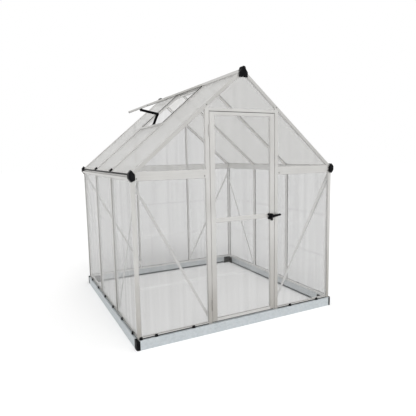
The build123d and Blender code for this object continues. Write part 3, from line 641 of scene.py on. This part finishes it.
def lips(outline, to_space):
    """A lip round an opening: a low hollow profile is carried round the outline with mitred corners."""
    corner = np.asarray(outline, float)
    ahead = np.roll(corner, -1, axis=0) - corner
    ahead /= np.linalg.norm(ahead, axis=1, keepdims=True)
    inward = np.stack([-ahead[:, 1], ahead[:, 0]], axis=1)
    before = np.roll(inward, 1, axis=0)
    mitre = (inward + before) / (1.0 + np.sum(inward * before, axis=1, keepdims=True))
    place = corner[:, None, :] + mitre[:, None, :] * lip_profile[None, :, :1] * lip_width
    rise = np.broadcast_to(lip_profile[None, :, 1] * lip_height, place.shape[:2])
    return skin_over(to_space(place[..., 0], place[..., 1], rise - sheet_set_back), closed=True)


def wall_lips(side, outline):
    """Lips round an opening of a wall, lying on the sheet."""
    return lips(outline, lambda along, up, out: on_wall(side, along, out, up))


def roof_lips(sign, near, far, top, foot):
    """Lips round a bay of a slope, from top to foot in distances down from the ridge line."""
    outline = oblong(top, foot, near, far)
    return lips(outline, lambda down, along, height: on_slope(sign, down, along, height))


def under_rake(x):
    """Height of the underside of a gable rafter."""
    return rake_low.z + (inner_x - abs(x)) * math.tan(roof_angle)


def gable_lips(side, edge):
    """Lips round the two outer openings of a gable, three-sided between upright, eave rail and rafter."""
    corner_x = inner_x - (eave_rail_top - rake_low.z) / math.tan(roof_angle)
    half = np.array([(edge, eave_rail_top), (corner_x, eave_rail_top), (edge, under_rake(edge))])
    return [wall_lips(side, half), wall_lips(side, half[::-1] * (-1.0, 1.0))]


def crown_lips(side, edge, low):
    """Lips round the middle opening of a gable, up to the ridge beam."""
    crown_x = inner_x - (ridge_low - rake_low.z) / math.tan(roof_angle)
    right = np.array([(edge, low), (edge, under_rake(edge)), (crown_x, ridge_low)])
    return wall_lips(side, np.concatenate([right, right[::-1] * (-1.0, 1.0)]))


shade_rubber = bpy.data.materials.new("painted_shade_rubber")
tree = fresh_tree(shade_rubber)
place = place_of(tree)
bloom = clouds(tree, place, blooms_per_metre, detail=3.0)
grain = clouds(tree, place, rubber_grains_per_metre)
height = tree.node("ShaderNodeSeparateXYZ", None, {0: place}, "Z")
lighter_higher_up = (height * lightening_by_height + bloom * lightening_by_bloom).ramp(*lightening_span)
bloomed = rubber_roughness + bloom * bloom_roughness
skin(tree, lighter_higher_up.mix(*painted_shade_tones), bloomed, 0.0, grain, rubber_grain_depth, gloss=rubber_gloss)

shade_lip_shells = []
for side, edge in (("front", jamb_high.x), ("back", back_edge)):
    panes = (oblong(edge, inner_x, frame_base, eave), oblong(-inner_x, -edge, frame_base, eave))
    shade_lip_shells += [wall_lips(side, pane) for pane in panes] + gable_lips(side, edge)
shade_lip_shells.append(wall_lips("back", oblong(-back_middle, back_middle, frame_base, eave)))
shade_lip_shells.append(crown_lips("back", back_middle, eave_rail_top))
shade_lip_shells.append(crown_lips("front", door_edge, header_high.z))
middle_end, outer_start = stud_line - stud_half, stud_line + stud_half
for near, far in ((-inner_y, -outer_start), (-middle_end, middle_end), (outer_start, inner_y)):
    left_head = below_vent if near < 0.0 < far else sheet_head
    shade_lip_shells += [wall_lips(side, oblong(near, far, frame_base, eave)) for side in ("left", "right")]
    shade_lip_shells.append(roof_lips(1.0, near, far, sheet_head, sheet_foot))
    shade_lip_shells.append(roof_lips(-1.0, near, far, left_head, sheet_foot))
# Painted shade: dark lips round every pane of the walls, gables and roof.
piece("glazing_shade_lips", shade_lip_shells, shade_rubber, "frame")


# The door lips: the same dark lips, painted shade in the grooves round the two sheets of the door.
# They lie between its stiles and rails and swing with it.

door_end_rail = 0.024
mid_rail_low, mid_rail_top = 0.880, 0.910
door_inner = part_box("door_rails")[1].x
leaf_low, leaf_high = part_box("door_stiles")
door_panes = (
    oblong(-door_inner, door_inner, leaf_low.z + door_end_rail, mid_rail_low),
    oblong(-door_inner, door_inner, mid_rail_top, leaf_high.z - door_end_rail),
)
piece("door_shade_lips", [wall_lips("front", pane) for pane in door_panes], shade_rubber, "door")


# The door's foot strip: a black strip along the foot of the door, painted shade in the gap over the base.
# It is pressed into the bottom rail and ends short of the jambs.

door_shade_gap = 0.003
door_shade_overlap = 0.002
door_shade_front, door_shade_back = 0.006, 0.012
door_shade_lean = 0.001


def straight(section, start, end, to_space):
    """A closed section carried straight between two ends."""
    section = np.asarray(section, float)[None]
    ends = np.broadcast_to(np.array([start, end])[:, None], (2, section.shape[1]))
    return skin_over(to_space(ends, section[..., 0], section[..., 1]))


def along_wall(side, section, start, end):
    """A section, in distances out from a wall's face and heights, carried straight along the wall."""
    return straight(section, start, end, lambda along, out, up: on_wall(side, along, out, up))


door_shade_high = leaf_low.z + door_shade_overlap
door_shade_low = post_low.z + door_shade_gap
door_shade_section = (
    (-door_shade_front, door_shade_high), (-door_shade_front - door_shade_lean, door_shade_low),
    (-door_shade_back, door_shade_low), (-door_shade_back, door_shade_high),
)
door_shade_shell = along_wall("front", door_shade_section, -leaf_high.x, leaf_high.x)
piece("door_foot_shade", [door_shade_shell], black_plastic, "door")


# The head seal: a black rubber strip under the door's header that the door closes against. It also paints
# the shade in the gap over the door.
# It is glued up into the gap over the door, a little behind the face.

head_gap = 0.0015
head_front, head_back = 0.0015, 0.010
head_section = oblong(-head_back, -head_front, leaf_high.z + head_gap, header_low.z)
head_seal_and_shade = along_wall("front", head_section, -leaf_high.x, leaf_high.x)
piece("head_seal_and_shade", [head_seal_and_shade], black_plastic, "frame")


# The foot strips: black strips that fill the line between the base and the bottom rails, painted shade in
# that gap.
# They are pressed under the rails all round, apart from the doorway.

foot_height = 0.0078
foot_front, foot_back = 0.0008, 0.0058
foot_section = oblong(-foot_back, -foot_front, post_low.z, post_low.z + foot_height)
foot_runs = (
    ("front", -inner_x, -jamb_high.x), ("front", jamb_high.x, inner_x), ("back", -inner_x, inner_x),
    ("left", -inner_y, inner_y), ("right", -inner_y, inner_y),
)
foot_shells = [along_wall(side, foot_section, start, end) for side, start, end in foot_runs]
piece("foot_shade_strips", foot_shells, black_plastic, "frame")


# The eave strips: black edging pushed over the cut ends of the roof sheets, along both eaves.
# It keeps dirt out of the flutes and shows as a black line over the gutter, which also paints the shade in
# the gap at the sheets' feet.

edging_width, edging_proud = 0.010, 0.002
edging_depth, edging_set_down = 0.006, 0.0005
edging_end_gap = 0.004
edging_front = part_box("right_roof_panels")[1].x / math.cos(roof_angle) + edging_proud
edging_section = oblong(edging_front - edging_width, edging_front, -edging_depth, -edging_set_down)
edging_half = inner_y - edging_end_gap


def eave_strip(sign):
    """A low box section, just round the sheet's end, carried along the foot of a slope."""
    return straight(
        edging_section, -edging_half, edging_half,
        lambda along, down, height: on_slope(sign, down, along, height),
    )


piece("eave_strips", [eave_strip(1.0), eave_strip(-1.0)], black_plastic, "frame")


# The vent seals: black foam strips glued on the rafters beside the opening, and a rubber bead under the
# flap's rim. The flap closes on the strips, and both show as dark lines beside the opening, which also
# paint the shade under the open flap.

flap_angle = math.radians(21.0)
hinge_inset, hinge_rise = 0.010, 0.0082
hinge_down = (ridge_wing - hinge_inset) / math.cos(roof_angle)
flap_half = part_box("vent_side_rails")[1].y
flap_under = 0.008
bead_start, bead_end = 0.040, 0.557
bead_in, bead_out, bead_depth = 0.008, 0.002, 0.003
foam_height, foam_in, foam_out = 0.003, 0.001, 0.006
foam_head_gap, foam_foot_gap = 0.002, 0.030
foam_start, foam_end = sheet_head + foam_head_gap, below_vent - foam_foot_gap


def on_left_slope(down, along, height):
    """Points of the left slope."""
    return on_slope(-1.0, down, along, height)


def under_flap(run, along, depth):
    """Points under the open flap: the distance from its hinge line, the way along it, the depth under it.

    The hinge line's point on the slope is moved by the run and the depth, turned by the flap's angle.
    """
    x, y, z = np.moveaxis(on_left_slope(hinge_down, along, hinge_rise), -1, 0)
    x = x - run * math.cos(flap_angle) + depth * math.sin(flap_angle)
    z = z - run * math.sin(flap_angle) - depth * math.cos(flap_angle)
    return np.stack(np.broadcast_arrays(x, y, z), axis=-1)


vent_shells = []
for sign in (-1.0, 1.0):
    foam = oblong(sign * (middle_end + foam_in), sign * (middle_end + foam_out), 0.0, foam_height)
    vent_shells.append(straight(foam, foam_start, foam_end, on_left_slope))
    bead_from, bead_to = sign * (flap_half - bead_in), sign * (flap_half - bead_out)
    bead = oblong(bead_from, bead_to, flap_under, flap_under + bead_depth)
    vent_shells.append(straight(bead, bead_start, bead_end, under_flap))
piece("vent_seals_and_shade", vent_shells, black_plastic, "frame")


# The rail beads: dark beads laid in the line along the face of each gable eave rail, painted shade in that
# groove.
# A second pair lies in the joint between the roof sheets and the inside of the eave beams, painted shade
# there too.

shade_bead_half = 0.0019
shade_bead_front, shade_bead_back = 0.0003, 0.0014
shade_bead_middle = (eave + eave_rail_top) / 2
shade_bead_low, shade_bead_high = shade_bead_middle - shade_bead_half, shade_bead_middle + shade_bead_half
shade_bead_section = oblong(-shade_bead_back, -shade_bead_front, shade_bead_low, shade_bead_high)
shade_bead_runs = (
    ("front", jamb_high.x, inner_x), ("front", -inner_x, -jamb_high.x),
    ("back", back_edge, inner_x), ("back", -back_middle, back_middle), ("back", -inner_x, -back_edge),
)
shade_bead_shells = [along_wall(side, shade_bead_section, start, end) for side, start, end in shade_bead_runs]
beam_rise = 0.0035
beam_bead_height, beam_bead_top, beam_bead_foot = 0.006, 0.004, 0.003
beam_line, beam_top = inner_x - post_high.x, eave_rail_top + beam_rise
beam_foot = beam_top - beam_bead_height
beam_section = (
    (beam_line, beam_foot), (beam_line, beam_top),
    (beam_line - beam_bead_top, beam_top), (beam_line - beam_bead_foot, beam_foot),
)
shade_bead_shells += [along_wall(side, beam_section, -inner_y, inner_y) for side in ("left", "right")]
piece("rail_shade_beads", shade_bead_shells, shade_rubber, "frame")


# The nuts: hexagon nuts on bolts whose heads slide in the bars, holding the braces from inside.
# They are zinc plated steel, a finger's width across the flats, with the bolt's end standing proud.

nut_radius, nut_edge, nut_height = 0.0058, 0.0045, 0.0050
bolt_radius, bolt_edge, bolt_height = 0.0030, 0.0085, 0.0092
nut_chamfer, bolt_chamfer = 0.9, 0.6
nut_rings = np.array([
    # radius, 1 for six-sided or 0 for round, depth
    (nut_radius, 1, 0.0), (nut_radius, 1, nut_edge), (nut_radius * nut_chamfer, 1, nut_height),
    (bolt_radius, 0, nut_height), (bolt_radius, 0, bolt_edge), (bolt_radius * bolt_chamfer, 0, bolt_height),
])
full_turn = np.arange(12) / 12.0 * 2.0 * math.pi
hexagon = np.where(np.arange(12) % 2 == 0, 1.0, math.cos(math.pi / 6.0))
brace_half, brace_thickness = 0.010, 0.003
brace_face = post_high.x - inner_x + brace_thickness


def nut(side, along, up):
    """A hexagon of twelve points carried out to its face, then drawn in to the round bolt and its tip."""
    radius, six_sided, depth = nut_rings.T[:, :, None]
    reach = radius * np.where(six_sided, hexagon, 1.0)
    across, height = along + reach * np.cos(full_turn), up + reach * np.sin(full_turn)
    return skin_over(on_wall(side, across, -brace_face - depth, height))


nut_places = (
    # walls, place along them and height
    (("front", "back"), brace_high.x - brace_half, brace_high.z - brace_half),
    (("front", "back"), jamb_line, brace_low.z + brace_half),
    (("left", "right"), side_high.y - brace_half, side_high.z - brace_half),
    (("left", "right"), stud_line, side_low.z + brace_half),
)
nut_shells = [
    nut(side, sign * along, up) for sides, along, up in nut_places for side in sides for sign in (-1.0, 1.0)
]
piece("brace_nuts", nut_shells, galvanised, "frame")


# The bolt heads: round heads screwed down on the gable faces, where the rafters meet the jambs and at the
# ends of the eave rails. They are zinc plated steel, tarnished dark by the weather.

head_radius, head_rise = 0.0055, 0.0030
dome_share = 0.46
bolt_inset, bolt_over_eave = 0.012, 0.014
bolt_tones = ((0.13, 0.126, 0.12, 1.0), (0.27, 0.263, 0.25, 1.0))
tarnish_per_metre, bolt_grains_per_metre = 300.0, 900.0
bolt_roughness, tarnish_roughness = 0.40, 0.2
bolt_shine = 0.6
bolt_grain_depth = 0.0001
rake_middle = 0.5 * (ridge_line + under_rake(0.0))


def button(side, along, up, set_out=0.0, wide=1.0):
    """A low dome: rings whose radius falls as the cosine and whose rise grows as the sine."""
    step = np.linspace(0.0, dome_share, 5)[:, None] * math.pi
    radius, rise = wide * head_radius * np.cos(step), head_rise * np.sin(step)
    across, height = along + radius * np.cos(full_turn), up + radius * np.sin(full_turn)
    return skin_over(on_wall(side, across, set_out + rise, height))


bolt_steel = bpy.data.materials.new("bolt_steel")
tree = fresh_tree(bolt_steel)
place = place_of(tree)
tarnish = clouds(tree, place, tarnish_per_metre, detail=3.0)
grain = clouds(tree, place, bolt_grains_per_metre)
tarnished = bolt_roughness + tarnish * tarnish_roughness
skin(tree, tarnish.mix(*bolt_tones), tarnished, bolt_shine, grain, bolt_grain_depth)

head_shells = []
for side, edge in (("front", jamb_high.x), ("back", back_edge)):
    for sign in (-1.0, 1.0):
        head_shells.append(button(side, sign * jamb_line, rake_middle - jamb_line * math.tan(roof_angle)))
        for along in (edge + bolt_inset, inner_x - bolt_inset):
            head_shells.append(button(side, sign * along, eave + bolt_over_eave))
piece("bolt_heads", head_shells, bolt_steel, "frame")


# The pivot heads: black plastic buttons on both ends of the pin at the elbow of the vent's arm.
# They are pressed on, and keep the two links together.

elbow_down, elbow_rise = 0.451, 0.037
upper_face, lower_face = 0.0080, 0.0083
pivot_width = 1.4
elbow_x, _, elbow_z = on_left_slope(elbow_down, 0.0, elbow_rise)
pivot_heads = [
    button("front", elbow_x, elbow_z, upper_face - post_high.y, pivot_width),
    button("back", -elbow_x, elbow_z, lower_face - post_high.y, pivot_width),
]
piece("pivot_heads", pivot_heads, black_plastic, "frame")
